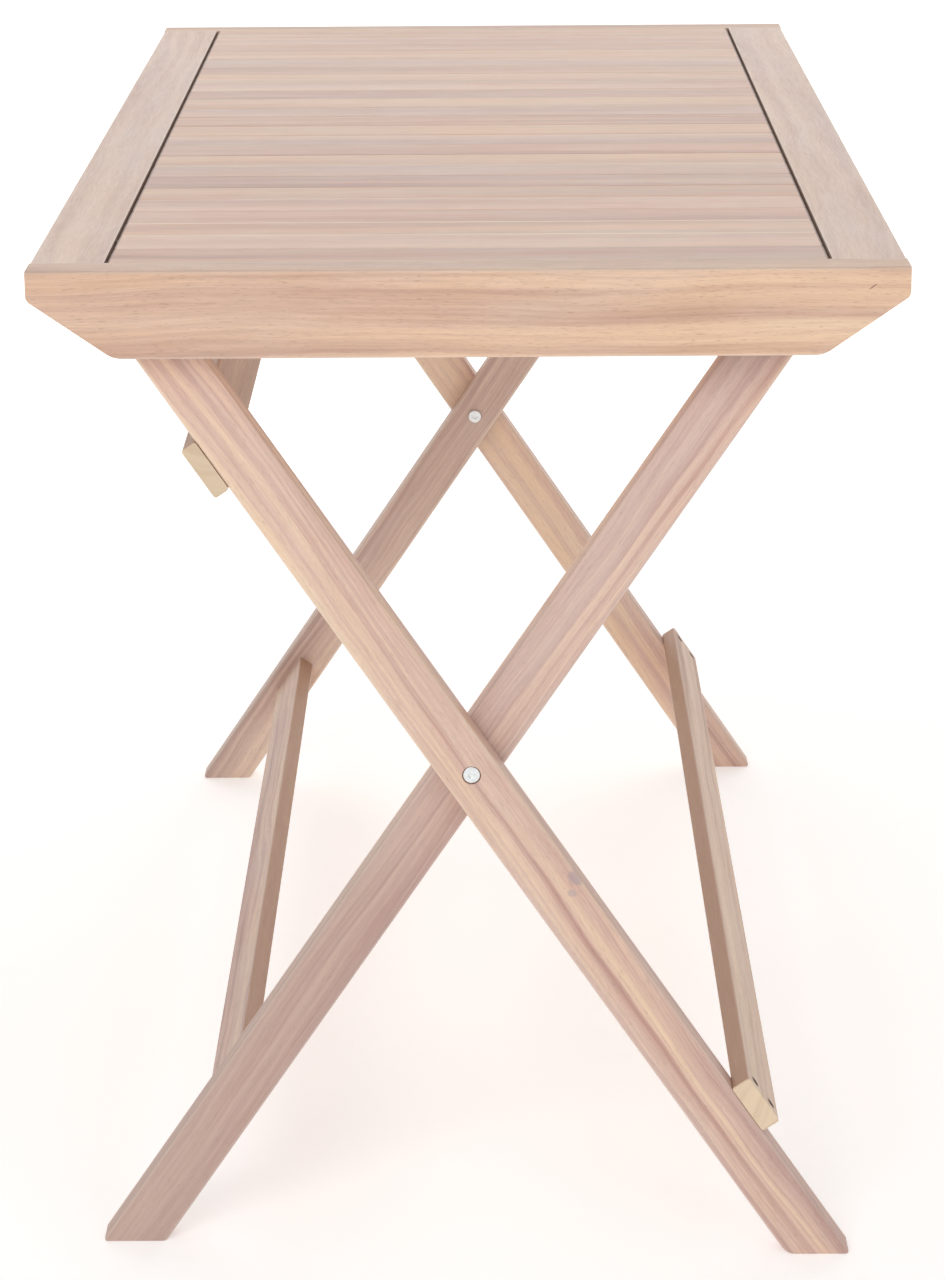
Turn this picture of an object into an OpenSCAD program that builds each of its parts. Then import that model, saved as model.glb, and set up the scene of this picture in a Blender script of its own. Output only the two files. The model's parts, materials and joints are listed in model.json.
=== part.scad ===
// Folding garden table: slatted top with end boards and side rails, carried by
// two crossed leg frames. Millimetres, +Z up. The origin lies on the floor,
// midway between the feet and midway along the table. +Y runs along the
// table's length and +X across it.
//
// The outer leg frame leans from the upper left (-X) down to the right (+X)
// and is bolted to the end boards. The inner leg frame crosses inside it,
// turns on the two pivot bolts and holds the other side of the top up with a
// round bar, which lies in two open stops under the right-hand batten.

/* [Overall] */
// Length of the top, along Y
table_length = 1200; // [960:10:1600]
// Width of the top, along X
table_width = 600; // [480:10:760]
// Height of the top surface above the floor
table_height = 750; // [600:5:900]

/* [Top] */
// Thickness of slats and side rails
board_t = 20; // [16:1:26]
// Thickness of an end board, along Y
end_board_t = 30; // [22:1:40]
// Height of an end board
end_board_h = 61; // [50:1:80]
// Sideways run of the slanted cut at an end board's lower corners
end_cut = 59; // [20:1:90]
// Width of a side rail
rail_w = 51; // [40:1:70]
// Joint between neighbouring slats
slat_gap = 0.3; // [0:0.1:8]
// Open joint between slat ends and side rail
rail_gap = 2.6; // [1:0.1:6]
// Chamfer along a slat's upper edges
slat_chamfer = 1; // [0.5:0.1:2]
// Radius of the rounded outer edges of boards and rails
edge_r = 2; // [1:0.5:5]
// Radius of an end board's lower corners
end_corner_r = 24; // [4:1:40]

/* [Underside] */
// Thickness of the long battens
batten_t = 14; // [12:1:18]
// Distance from the table's side to a batten's outer edge
batten_margin = 32; // [26:1:44]
// Reach of a batten inwards past the top bar's axis
batten_cover = 6; // [2:1:20]
// Section height of the end ledgers
ledger_h = 18; // [12:1:22]
// Section width of the end ledgers
ledger_w = 20; // [14:1:24]
// Length of a stop block, along Y
stop_len = 60; // [50:1:100]
// Distance of the stop blocks from mid-length
stop_y = 380; // [250:5:420]
// Thickness of a stop's lip plate
lip_t = 6; // [4:0.5:10]

/* [Legs] */
// Width of a leg, seen from the front
leg_w = 40; // [34:1:50]
// Thickness of a leg, along Y
leg_t = 25; // [20:1:32]
// Radius of a leg's long edges
leg_r = 3; // [1:0.5:6]
// Gap between an end board and the outer leg
leg_spacer = 3; // [2:0.5:6]
// Gap between an outer and an inner leg
leg_gap = 1.6; // [1.2:0.1:3]
// Distance from the table's side to the middle of a foot
foot_inset = 45; // [20:1:80]
// Distance from the table's side to a leg's edge at the hinge and top bar
hinge_inset = 59; // [50:1:90]
// Radius of a foot's sharp corner
toe_r = 2; // [1:0.5:4]
// Radius of an outer foot's blunt corner
outer_heel_r = 15; // [2:1:20]
// Radius of an inner foot's blunt corner
inner_heel_r = 3; // [2:1:20]

/* [Cross pieces] */
// Width of the upper cross board
crossbar_w = 41; // [34:1:60]
// Thickness of the upper cross board
crossbar_t = 12; // [10:1:20]
// Distance along the leg from the hinge down to the upper cross board
crossbar_drop = 104.5; // [60:1:200]
// Width of the outer lower stretcher
stretcher_w = 41; // [34:1:60]
// Thickness of the outer lower stretcher
stretcher_t = 15; // [10:1:20]
// Distance along the leg from the floor up to the outer lower stretcher
stretcher_rise = 127; // [90:1:240]
// Width of the inner lower stretcher
inner_rail_w = 44; // [34:1:60]
// Thickness of the inner lower stretcher
inner_rail_t = 15; // [10:1:20]
// Distance along the leg from the floor up to the inner lower stretcher
inner_rail_rise = 128; // [90:1:240]
// Radius of the long edges of boards and stretchers
board_r = 2; // [1:0.5:4]
// Diameter of the round top bar
bar_d = 24; // [18:1:30]

/* [Hardware] */
// Diameter of a pivot bolt's head and of a sleeve nut's cap
head_d = 12.2; // [10:0.1:16]
// Thickness of those heads
head_t = 2.2; // [1.5:0.1:4]
// Width across flats of the hexagon sockets
socket_af = 5; // [3:0.5:6]
// Diameter of a sleeve nut's barrel
sleeve_d = 9; // [8:0.5:12]
// Diameter of the bolt shanks
bolt_d = 6; // [5:0.5:8]
// Diameter of the hinge bolt shanks
hinge_d = 8; // [6:0.5:10]
// Diameter of a countersunk screw's head
screw_head_d = 7; // [6:0.5:9]
// Diameter of a screw's shank
screw_d = 3.6; // [3:0.1:5]

/* [Hidden] */
$fn = 48;
EPS = 0.01;
RUN = 0.05;            // radial running clearance of the pins
FIT = 0.05;            // clearance round glued and screwed-in parts
FREE = 0.4;            // gap between parts that slide past each other

SLATS = 24;
EASE = 1.5;            // corner cut of the slat ends
TOP_CORNER = 6;        // radius where an end board's slanted cut begins

half_l = table_length / 2;
half_w = table_width / 2;
z_under = table_height - board_t;                 // underside of slats and rails
z_batten = z_under - batten_t;                    // underside of the battens
hinge_z = z_batten - FREE - bar_d / 2;            // height of hinge and bar axes

// Both frames lie on lines from a foot's middle to a hinge or bar axis, which
// cross above the middle of the floor. The crossing point is equally far from
// hinge and bar, so the bar keeps its distance below the slats while folding.
foot_x = half_w - foot_inset;
bar_x = half_w - hinge_inset - leg_w / 2;
hinge_x = -bar_x;
pivot_z = hinge_z * foot_x / (foot_x + bar_x);
lean = atan2(pivot_z, foot_x);                    // angle above the floor
reach = bar_x / cos(lean);                        // crossing point to hinge
foot_s = foot_x / cos(lean);                      // crossing point to floor
crossbar_s = reach - crossbar_drop;
stretcher_s = foot_s - stretcher_rise;
inner_rail_s = foot_s - inner_rail_rise;
leg_n = [sin(lean), cos(lean)];                   // across the outer leg, in X and Z

y_in = half_l - end_board_t;                      // inner face of an end board
y_outer = y_in - leg_spacer;                      // outer face of an outer leg
y_outer_in = y_outer - leg_t;                     // inner face of an outer leg
y_inner = y_outer_in - leg_gap;                   // outer face of an inner leg
y_inner_in = y_inner - leg_t;                     // inner face of an inner leg
y_outer_mid = y_outer - leg_t / 2;

slat_x = half_w - rail_w - rail_gap;              // half length of a slat
slat_pitch = (2 * y_in - slat_gap) / SLATS;
slat_w = slat_pitch - slat_gap;

leg_room = 3;                                     // batten edge to leg end
batten_out = half_w - batten_margin;
batten_in = bar_x - batten_cover;
notch_x = max(bar_x + leg_w / 2 + leg_room, batten_in);
notch_y = y_inner_in - leg_room;
ledger_room = 16;                                 // ledger end to leg end
ledger_x = bar_x - leg_w / 2 - ledger_room;       // half length of a ledger

head_room = 0.7;                                  // wood clear of a bolt head
head_bore_r = head_d / 2 + head_room;
head_sink = 0.8;                                  // head below the leg's face
head_bore = head_t + head_sink;
sleeve_grip = 11;                                 // barrel's reach into the outer leg
bolt_end = 3;                                     // bolt end to barrel's cap
washer_d = 20;
washer_t = leg_gap - FREE;
spacer_t = leg_spacer - FREE;
insert_d = 12;
insert_l = 16;
hinge_grip = 14;                                  // hinge bolt inside its insert
socket_depth = 1.5;

screw_sink = 2;                                   // head below the wood's face
screw_cone = (screw_head_d - screw_d) / 2;        // height of a 45 degree head
screw_bite = 12;                                  // screw in a slat or a rail
leg_bite = 24;                                    // screw in a leg's edge
board_bite = 16;                                  // ledger screw in an end board
stop_bite = 10;                                   // stop screw in a batten
cross_screw_v = 10.5;                             // half spacing of a leg's pair
ledger_step = ledger_x - 40;                      // spacing of the level screws
ledger_up_step = ledger_step / 5;                 // half spacing of the upright ones
rail_step = 238;                                  // spacing of the rail screws
dowel_d = 8;
dowel_bite = 20;                                  // dowel in each board
dowel_v = 13;                                     // half spacing of a dowel pair
tenon_l = 16;                                     // tenons of the inner stretcher
tenon_t = 8;
tenon_shoulder = 6;
bar_tenon_d = 16;
stop_screw_v = 18;                                // half spacing of its screws
stop_x0 = bar_x + bar_d / 2 + FREE;               // face of the stop block
stop_z0 = hinge_z - bar_d / 2 - FREE;             // underside of the stop block
stop_xm = (stop_x0 + batten_out) / 2;
lip_reach = 2;                                    // lip past the bar's axis
batten_screw_x = (max(bar_x, batten_in) + slat_x) / 2;
rail_screw_x = (half_w - rail_w + batten_out) / 2;

// Wood tones
WOOD = "#c9ad9c";
PALE = "#d3bcaa";
STRAW = "#d8bb90";
METAL = "#b9bec2";

function slat_y(i) = -y_in + slat_gap + slat_w / 2 + (i - 1) * slat_pitch;

function unit(v) = v / norm(v);

// Corner p between its neighbours a and b, rounded by r: the two points where
// the arc begins and ends, and the arc's centre.
function arc_at(a, p, b, r) =
    let (u = unit(a - p), w = unit(b - p), half = acos(u * w) / 2)
    [p + u * r / tan(half), p + w * r / tan(half),
     p + unit(u + w) * r / sin(half)];

// ---- 2D shapes ----

// Rectangle centred on the origin with true round corners.
module round_rect(w, h, r) {
    square([w - 2 * r, h], center = true);
    square([w, h - 2 * r], center = true);
    for (sx = [-1, 1], sy = [-1, 1])
        translate([sx * (w / 2 - r), sy * (h / 2 - r)]) circle(r);
}

// Rectangle centred on the origin with its corners cut off by c.
module cut_rect(w, h, c) {
    polygon([[-w / 2 + c, -h / 2], [w / 2 - c, -h / 2],
             [w / 2, -h / 2 + c], [w / 2, h / 2 - c],
             [w / 2 - c, h / 2], [-w / 2 + c, h / 2],
             [-w / 2, h / 2 - c], [-w / 2, -h / 2 + c]]);
}

// Convex outline through the points p, each corner rounded by its radius in r.
module round_poly(p, r) {
    n = len(p);
    arcs = [for (i = [0:n - 1])
                arc_at(p[(i + n - 1) % n], p[i], p[(i + 1) % n], r[i])];
    intersection() {
        polygon(p);
        union() {
            polygon([for (i = [0:n - 1])
                         each r[i] > 0 ? [arcs[i][0], arcs[i][1]] : [p[i]]]);
            for (i = [0:n - 1])
                if (r[i] > 0) translate(arcs[i][2]) circle(r[i]);
        }
    }
}

// ---- Placing ----

// Puts a shape drawn in X and Z between y0 and y1.
module along_y(y0, y1)
    translate([0, y1, 0]) rotate([90, 0, 0])
        linear_extrude(y1 - y0) children();

// Frame of the outer legs: Z runs up the leg and X across it, up and right.
module on_outer()
    translate([0, 0, pivot_z]) rotate([0, lean - 90, 0]) children();

// Frame of the inner legs: Z runs up the leg and X across it, down and right.
module on_inner()
    translate([0, 0, pivot_z]) rotate([0, 90 - lean, 0]) children();

// The rear copy of a piece drawn for the front.
module at_rear() mirror([0, 1, 0]) children();

module both_ends() {
    children();
    at_rear() children();
}

// The left-hand copy of a piece drawn for the right.
module at_left() mirror([1, 0, 0]) children();

module both_sides() {
    children();
    at_left() children();
}

// ---- Fasteners, head upwards at z = 0 ----

module screw(l) {
    translate([0, 0, -screw_cone])
        cylinder(h = screw_cone, d1 = screw_d, d2 = screw_head_d);
    translate([0, 0, -l]) cylinder(h = l - screw_cone, d = screw_d);
}

// Hole for a screw whose head lies screw_sink below z = 0.
module screw_hole(l) {
    translate([0, 0, -screw_sink]) {
        translate([0, 0, -screw_cone - FIT])
            cylinder(h = screw_cone, r1 = screw_d / 2 + FIT,
                     r2 = screw_head_d / 2 + FIT);
        translate([0, 0, -FIT])
            cylinder(h = screw_sink + 2 * FIT, r = screw_head_d / 2 + FIT);
        translate([0, 0, -l - FIT])
            cylinder(h = l - screw_cone + FIT, r = screw_d / 2 + FIT);
    }
}

module sunk_screw(l) translate([0, 0, -screw_sink]) screw(l - screw_sink);
module sunk_hole(l) screw_hole(l - screw_sink);

// Round plate with a hexagon socket in its upper face, its top at z = 0.
module socket_head() difference() {
    translate([0, 0, -head_t]) cylinder(h = head_t, d = head_d);
    translate([0, 0, -socket_depth])
        cylinder(h = socket_depth + EPS, d = socket_af / cos(30), $fn = 6);
}

// ---- Where the fasteners stand; children are a screw or its hole ----

module batten_screw_spots(first, last)
    for (i = [first:last]) both_sides()
        translate([batten_screw_x, slat_y(i), z_batten])
            rotate([180, 0, 0]) children();

module rail_screw_spots()
    for (k = [-2:2]) both_sides()
        translate([rail_screw_x, k * rail_step, z_batten])
            rotate([180, 0, 0]) children();

// Level screws from a ledger into the front end board.
module ledger_level_spots()
    for (k = [-1:1])
        translate([k * ledger_step, -y_in + ledger_w, z_under - ledger_h / 2])
            rotate([-90, 0, 0]) children();

// Upright screws from the front ledger into the first slat.
module ledger_up_spots()
    for (k = [-3, -1, 1, 3])
        translate([k * ledger_up_step, -y_in + ledger_w / 2,
                   z_under - ledger_h])
            rotate([180, 0, 0]) children();

module dowel_spots()
    for (x = [-1, 1]) both_sides()
        translate([half_w - rail_w / 2 + x * dowel_v,
                   -y_in, z_under + board_t / 2])
            rotate([90, 0, 0]) children();

module stop_screw_spots()
    for (v = [-1, 1])
        translate([stop_xm, -stop_y + v * stop_screw_v, stop_z0 - lip_t])
            rotate([180, 0, 0]) children();

// Screws through the upper cross board into the front outer leg's left edge.
module crossbar_screw_spots()
    on_outer() for (v = [-1, 1])
        translate([-leg_w / 2 - crossbar_t, -y_outer_mid,
                   crossbar_s + v * cross_screw_v])
            rotate([0, -90, 0]) children();

// Screws through the lower stretcher into the front outer leg's right edge.
module stretcher_screw_spots()
    on_outer() for (v = [-1, 1])
        translate([leg_w / 2 + stretcher_t, -y_outer_mid,
                   -stretcher_s + v * cross_screw_v])
            rotate([0, 90, 0]) children();

batten_screw_l = batten_t + screw_bite;
ledger_level_l = ledger_w + board_bite;
ledger_up_l = ledger_h + screw_bite;
crossbar_screw_l = crossbar_t + leg_bite;
stretcher_screw_l = stretcher_t + leg_bite;
stop_screw_l = lip_t + z_batten - stop_z0 + stop_bite;

// ---- Top ----

// Outline of an end board in X and Z, with slanted lower corners.
module end_outline() {
    low = table_height - end_board_h;
    round_poly([[half_w, table_height], [-half_w, table_height],
                [-half_w, z_under], [-half_w + end_cut, low],
                [half_w - end_cut, low], [half_w, z_under]],
               [0, 0, TOP_CORNER, end_corner_r, end_corner_r, TOP_CORNER]);
}

module front_end_board() difference() {
    intersection() {
        along_y(-half_l, -y_in) end_outline();
        // Long edges of the outer face are rounded.
        translate([-half_w, 0, table_height - end_board_h]) rotate([90, 0, 90])
            linear_extrude(table_width) translate([-half_l, 0]) {
                translate([edge_r, 0])
                    square([end_board_t - edge_r, end_board_h]);
                translate([0, edge_r])
                    square([end_board_t, end_board_h - 2 * edge_r]);
                for (z = [edge_r, end_board_h - edge_r])
                    translate([edge_r, z]) circle(edge_r);
            }
    }
    dowel_spots() translate([0, 0, -EPS])
        cylinder(h = dowel_bite + FIT + EPS, r = dowel_d / 2 + FIT);
    ledger_level_spots() sunk_hole(ledger_level_l);
    translate([hinge_x, -y_in + EPS, hinge_z]) rotate([90, 0, 0])
        cylinder(h = insert_l + FIT + EPS, r = insert_d / 2 + FIT);
}

// The rear board carries its hinge on the same side as the front one.
module end_board_front() color(WOOD) front_end_board();
module end_board_rear() color(WOOD) at_rear() front_end_board();

// Right rail; outer long edges are rounded.
module right_rail() difference() {
    along_y(-y_in, y_in)
        translate([half_w - rail_w, z_under]) {
            square([rail_w - edge_r, board_t]);
            translate([0, edge_r]) square([rail_w, board_t - 2 * edge_r]);
            for (z = [edge_r, board_t - edge_r])
                translate([rail_w - edge_r, z]) circle(edge_r);
        }
    both_ends() dowel_spots() translate([0, 0, -dowel_bite - FIT])
        cylinder(h = dowel_bite + FIT + EPS, r = dowel_d / 2 + FIT);
    rail_screw_spots() sunk_hole(batten_screw_l);
}
module rail_left() color(WOOD) at_left() right_rail();
module rail_right() color(WOOD) right_rail();

// One slat: chamfered upper edges, ends clipped in plan.
module slat(i) color(i % 3 == 0 ? STRAW : i % 3 == 1 ? WOOD : PALE)
    difference() {
        translate([0, slat_y(i), 0]) intersection() {
            translate([-slat_x, 0, z_under]) rotate([90, 0, 90])
                linear_extrude(2 * slat_x)
                    polygon([[-slat_w / 2, 0], [slat_w / 2, 0],
                             [slat_w / 2, board_t - slat_chamfer],
                             [slat_w / 2 - slat_chamfer, board_t],
                             [-slat_w / 2 + slat_chamfer, board_t],
                             [-slat_w / 2, board_t - slat_chamfer]]);
            translate([0, 0, z_under - EPS])
                linear_extrude(board_t + 2 * EPS)
                    cut_rect(2 * slat_x, slat_w, EASE);
        }
        if (i > 1 && i < SLATS) batten_screw_spots(i, i) sunk_hole(batten_screw_l);
        if (i == 1) ledger_up_spots() sunk_hole(ledger_up_l);
        if (i == SLATS) at_rear() ledger_up_spots() sunk_hole(ledger_up_l);
    }

// Right batten: narrower beside the legs, so that their ends pass it.
module right_batten() difference() {
    translate([0, 0, z_batten]) linear_extrude(batten_t)
        polygon([[notch_x, -y_in], [batten_out, -y_in],
                 [batten_out, y_in], [notch_x, y_in],
                 [notch_x, notch_y], [batten_in, notch_y],
                 [batten_in, -notch_y], [notch_x, -notch_y]]);
    batten_screw_spots(2, SLATS - 1) sunk_hole(batten_screw_l);
    rail_screw_spots() sunk_hole(batten_screw_l);
    both_ends() stop_screw_spots() sunk_hole(stop_screw_l);
}

// The left batten has no stops, so no holes for their screws.
module left_batten() difference() {
    translate([0, 0, z_batten]) linear_extrude(batten_t)
        polygon([[-notch_x, -y_in], [-batten_out, -y_in],
                 [-batten_out, y_in], [-notch_x, y_in],
                 [-notch_x, notch_y], [-batten_in, notch_y],
                 [-batten_in, -notch_y], [-notch_x, -notch_y]]);
    batten_screw_spots(2, SLATS - 1) sunk_hole(batten_screw_l);
    rail_screw_spots() sunk_hole(batten_screw_l);
}
module batten_left() color(PALE) left_batten();
module batten_right() color(PALE) right_batten();

module front_ledger() difference() {
    translate([-ledger_x, -y_in, z_under - ledger_h])
        cube([2 * ledger_x, ledger_w, ledger_h]);
    ledger_level_spots() sunk_hole(ledger_level_l);
    ledger_up_spots() sunk_hole(ledger_up_l);
}
module ledger_front() color(PALE) front_ledger();
module ledger_rear() color(PALE) at_rear() front_ledger();

module top_screws() color(METAL) {
    batten_screw_spots(2, SLATS - 1) sunk_screw(batten_screw_l);
    rail_screw_spots() sunk_screw(batten_screw_l);
    both_ends() {
        ledger_level_spots() sunk_screw(ledger_level_l);
        ledger_up_spots() sunk_screw(ledger_up_l);
    }
}

module rail_dowels() color(STRAW) both_ends() dowel_spots()
    translate([0, 0, -dowel_bite])
        cylinder(h = 2 * dowel_bite, d = dowel_d);

// ---- Stops that hold the inner frame's bar ----

module front_stop() difference() {
    translate([stop_x0, -stop_y - stop_len / 2, stop_z0])
        cube([batten_out - stop_x0, stop_len, z_batten - stop_z0]);
    stop_screw_spots() sunk_hole(stop_screw_l);
}
module stop_front() color(WOOD) front_stop();
module stop_rear() color(WOOD) at_rear() front_stop();

module front_lip() difference() {
    translate([bar_x - lip_reach, -stop_y - stop_len / 2, stop_z0 - lip_t])
        cube([batten_out - bar_x + lip_reach, stop_len, lip_t]);
    stop_screw_spots() sunk_hole(stop_screw_l);
}
module stop_lip_front() color(WOOD) front_lip();
module stop_lip_rear() color(WOOD) at_rear() front_lip();

module stop_screws() color(METAL) both_ends() stop_screw_spots()
    sunk_screw(stop_screw_l);

// ---- Hinge between the end boards and the outer legs ----

// Places a shape on the front hinge axis, +Z towards the end board.
module on_hinge(y) translate([hinge_x, y, hinge_z]) rotate([90, 0, 0])
    children();

module hinge_bolts() color(METAL) both_ends() {
    on_hinge(-y_outer_in - head_sink) mirror([0, 0, 1]) socket_head();
    on_hinge(-y_outer_in - head_sink - head_t + EPS)
        cylinder(h = y_in + hinge_grip - y_outer_in - head_sink - head_t + EPS,
                 d = hinge_d);
}

module hinge_inserts() color("#c8a860") both_ends() on_hinge(-y_in)
    difference() {
        cylinder(h = insert_l, d = insert_d);
        translate([0, 0, -EPS])
            cylinder(h = hinge_grip + FIT + EPS, r = hinge_d / 2 + FIT);
    }

module hinge_spacers() color(METAL) both_ends() on_hinge(-y_in + spacer_t)
    difference() {
        cylinder(h = spacer_t, d = washer_d);
        translate([0, 0, -EPS])
            cylinder(h = spacer_t + 2 * EPS, r = hinge_d / 2 + FIT);
    }

// ---- Legs ----

// Side view of an outer leg in X and Z: round at the hinge, level at the foot.
module leg_outline(heel_r) {
    half_foot = leg_w / 2 / sin(lean);
    hinge = [hinge_x, hinge_z];
    round_poly([hinge - leg_n * leg_w / 2, [foot_x - half_foot, 0],
                [foot_x + half_foot, 0], hinge + leg_n * leg_w / 2],
               [0, heel_r, toe_r, 0]);
    translate(hinge) circle(d = leg_w);
}

// An outer leg between y0 and y1 with rounded long edges.
module leg_blank(y0, y1, heel_r) intersection() {
    along_y(y0, y1) leg_outline(heel_r);
    on_outer() translate([0, (y0 + y1) / 2, -2 * reach])
        linear_extrude(4 * reach) round_rect(leg_w, y1 - y0, leg_r);
}

module front_outer_leg() difference() {
    leg_blank(-y_outer, -y_outer_in, outer_heel_r);
    // X pivot: sunk head, bolt, then the barrel of the sleeve nut
    translate([0, -y_outer, pivot_z]) rotate([-90, 0, 0]) {
        translate([0, 0, -EPS]) cylinder(h = head_bore + EPS, r = head_bore_r);
        cylinder(h = leg_t + EPS, r = bolt_d / 2 + FIT);
        translate([0, 0, leg_t - sleeve_grip - FIT])
            cylinder(h = sleeve_grip + 2 * FIT + EPS, r = sleeve_d / 2 + FIT);
    }
    // Hinge: running bore and a sunk head on the inner side
    on_hinge(-y_outer_in + EPS) {
        cylinder(h = leg_t + 2 * EPS, r = hinge_d / 2 + RUN);
        cylinder(h = head_bore + FREE + EPS, r = head_bore_r);
    }
    crossbar_screw_spots() sunk_hole(crossbar_screw_l);
    stretcher_screw_spots() sunk_hole(stretcher_screw_l);
}
module outer_leg_front() color(WOOD) front_outer_leg();
module outer_leg_rear() color(WOOD) at_rear() front_outer_leg();

module outer_crossbar() color(PALE) difference() {
    on_outer() translate([-leg_w / 2 - crossbar_t / 2, y_outer, crossbar_s])
        rotate([90, 0, 0]) linear_extrude(2 * y_outer)
            round_rect(crossbar_t, crossbar_w, board_r);
    both_ends() crossbar_screw_spots() sunk_hole(crossbar_screw_l);
}

module outer_stretcher() color(PALE) difference() {
    on_outer() translate([leg_w / 2 + stretcher_t / 2, y_outer, -stretcher_s])
        rotate([90, 0, 0]) linear_extrude(2 * y_outer)
            round_rect(stretcher_t, stretcher_w, board_r);
    both_ends() stretcher_screw_spots() sunk_hole(stretcher_screw_l);
}

module outer_screws() color(METAL) both_ends() {
    crossbar_screw_spots() sunk_screw(crossbar_screw_l);
    stretcher_screw_spots() sunk_screw(stretcher_screw_l);
}

// ---- X pivots ----

// Places a shape on the front crossing axis, +Z towards the table's middle.
module on_pivot(y) translate([0, y, pivot_z]) rotate([-90, 0, 0]) children();

barrel_l = sleeve_grip + leg_gap + leg_t + FREE;

module pivot_bolts() color(METAL) both_ends() {
    on_pivot(-y_outer + head_sink) mirror([0, 0, 1]) socket_head();
    on_pivot(-y_outer + head_sink + head_t - EPS)
        cylinder(h = leg_t - head_sink - head_t + leg_gap + leg_t - bolt_end,
                 d = bolt_d);
}

module pivot_sleeves() color(METAL) both_ends()
    on_pivot(-y_outer_in - sleeve_grip) difference() {
        union() {
            cylinder(h = barrel_l + EPS, d = sleeve_d);
            translate([0, 0, barrel_l + head_t]) socket_head();
        }
        translate([0, 0, -EPS])
            cylinder(h = barrel_l - bolt_end + EPS, r = bolt_d / 2 + FIT);
    }

module pivot_washers() color(METAL) both_ends() on_pivot(-y_outer_in)
    difference() {
        cylinder(h = washer_t, d = washer_d);
        translate([0, 0, -EPS])
            cylinder(h = washer_t + 2 * EPS, r = sleeve_d / 2 + FIT);
    }

// ---- Inner frame ----

module stretcher_tenon(extra)
    translate([-tenon_t / 2 - extra, -y_inner_in - tenon_l - extra,
               -inner_rail_s - inner_rail_w / 2 + tenon_shoulder - extra])
        cube([tenon_t + 2 * extra, tenon_l + extra + EPS,
              inner_rail_w - 2 * tenon_shoulder + 2 * extra]);

module front_inner_leg() difference() {
    at_left() leg_blank(-y_inner, -y_inner_in, inner_heel_r);
    on_pivot(-y_inner - EPS)
        cylinder(h = leg_t + 2 * EPS, r = sleeve_d / 2 + RUN);
    on_inner() stretcher_tenon(FIT);
    translate([bar_x, -y_inner_in + EPS, hinge_z]) rotate([90, 0, 0])
        cylinder(h = tenon_l + FIT + EPS, r = bar_tenon_d / 2 + FIT);
}
module inner_leg_front() color(WOOD) front_inner_leg();
module inner_leg_rear() color(WOOD) at_rear() front_inner_leg();

module inner_stretcher() color(WOOD) on_inner() {
    translate([0, y_inner_in, -inner_rail_s]) rotate([90, 0, 0])
        linear_extrude(2 * y_inner_in)
            round_rect(inner_rail_t, inner_rail_w, board_r);
    both_ends() stretcher_tenon(0);
}

module top_bar() color(WOOD) translate([bar_x, 0, hinge_z]) rotate([90, 0, 0]) {
    cylinder(h = 2 * y_inner_in, d = bar_d, center = true);
    cylinder(h = 2 * (y_inner_in + tenon_l), d = bar_tenon_d, center = true);
}

end_board_front();
end_board_rear();
rail_left();
rail_right();
slat(1);  // slat_01
slat(2);  // slat_02
slat(3);  // slat_03
slat(4);  // slat_04
slat(5);  // slat_05
slat(6);  // slat_06
slat(7);  // slat_07
slat(8);  // slat_08
slat(9);  // slat_09
slat(10);  // slat_10
slat(11);  // slat_11
slat(12);  // slat_12
slat(13);  // slat_13
slat(14);  // slat_14
slat(15);  // slat_15
slat(16);  // slat_16
slat(17);  // slat_17
slat(18);  // slat_18
slat(19);  // slat_19
slat(20);  // slat_20
slat(21);  // slat_21
slat(22);  // slat_22
slat(23);  // slat_23
slat(24);  // slat_24
batten_left();
batten_right();
ledger_front();
ledger_rear();
top_screws();
rail_dowels();
stop_front();
stop_rear();
stop_lip_front();
stop_lip_rear();
stop_screws();
hinge_bolts();
hinge_inserts();
hinge_spacers();
outer_leg_front();
outer_leg_rear();
outer_crossbar();
outer_stretcher();
outer_screws();
pivot_bolts();
pivot_sleeves();
pivot_washers();
inner_leg_front();
inner_leg_rear();
inner_stretcher();
top_bar();
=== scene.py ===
"""Folding slatted garden table in white-washed acacia.

The studio and the camera come first. The CAD boards get timber whose grain
follows each board. The fasteners are replaced by finished ones with driven
heads, and a sliver left by the saw is added. Lengths are metres in the CAD
frame.
"""
import json
import logging
import math
from dataclasses import dataclass
from enum import Enum

import bmesh
import bpy
import numpy as np
from mathutils import Matrix, Vector


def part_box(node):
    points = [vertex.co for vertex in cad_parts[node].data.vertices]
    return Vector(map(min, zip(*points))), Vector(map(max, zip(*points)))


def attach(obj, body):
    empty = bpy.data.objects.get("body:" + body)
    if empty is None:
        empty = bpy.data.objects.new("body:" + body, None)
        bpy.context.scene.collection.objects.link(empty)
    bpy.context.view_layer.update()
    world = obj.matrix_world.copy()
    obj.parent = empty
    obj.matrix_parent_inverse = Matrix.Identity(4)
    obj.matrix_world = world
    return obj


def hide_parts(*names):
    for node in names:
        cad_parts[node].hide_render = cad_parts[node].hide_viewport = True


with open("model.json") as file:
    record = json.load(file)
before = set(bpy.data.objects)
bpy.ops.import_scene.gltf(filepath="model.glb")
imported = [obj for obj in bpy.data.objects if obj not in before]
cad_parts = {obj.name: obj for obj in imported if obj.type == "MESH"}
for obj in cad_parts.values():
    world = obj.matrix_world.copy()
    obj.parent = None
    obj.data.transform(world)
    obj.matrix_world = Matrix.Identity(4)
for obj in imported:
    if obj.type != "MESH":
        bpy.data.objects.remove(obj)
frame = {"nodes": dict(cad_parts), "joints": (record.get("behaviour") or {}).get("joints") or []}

LOG = logging.getLogger("garden_table")
MM = 0.001

PORE_BROWN = "#9a7866"                  # dust that settled in open pores
NARROW_FACE_SHADE = "#aa8266"                   # painted shade on narrow faces lying in shadow
END_CREAM = "#e3cfae"                   # raw pale end grain
END_GRAIN_SHADE = "#6d4f3e"                   # unwashed end grain, darkened with painted shade
HOLE_SHADE = "#5d4337"                # painted shadow round a sunk screw's hole

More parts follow.
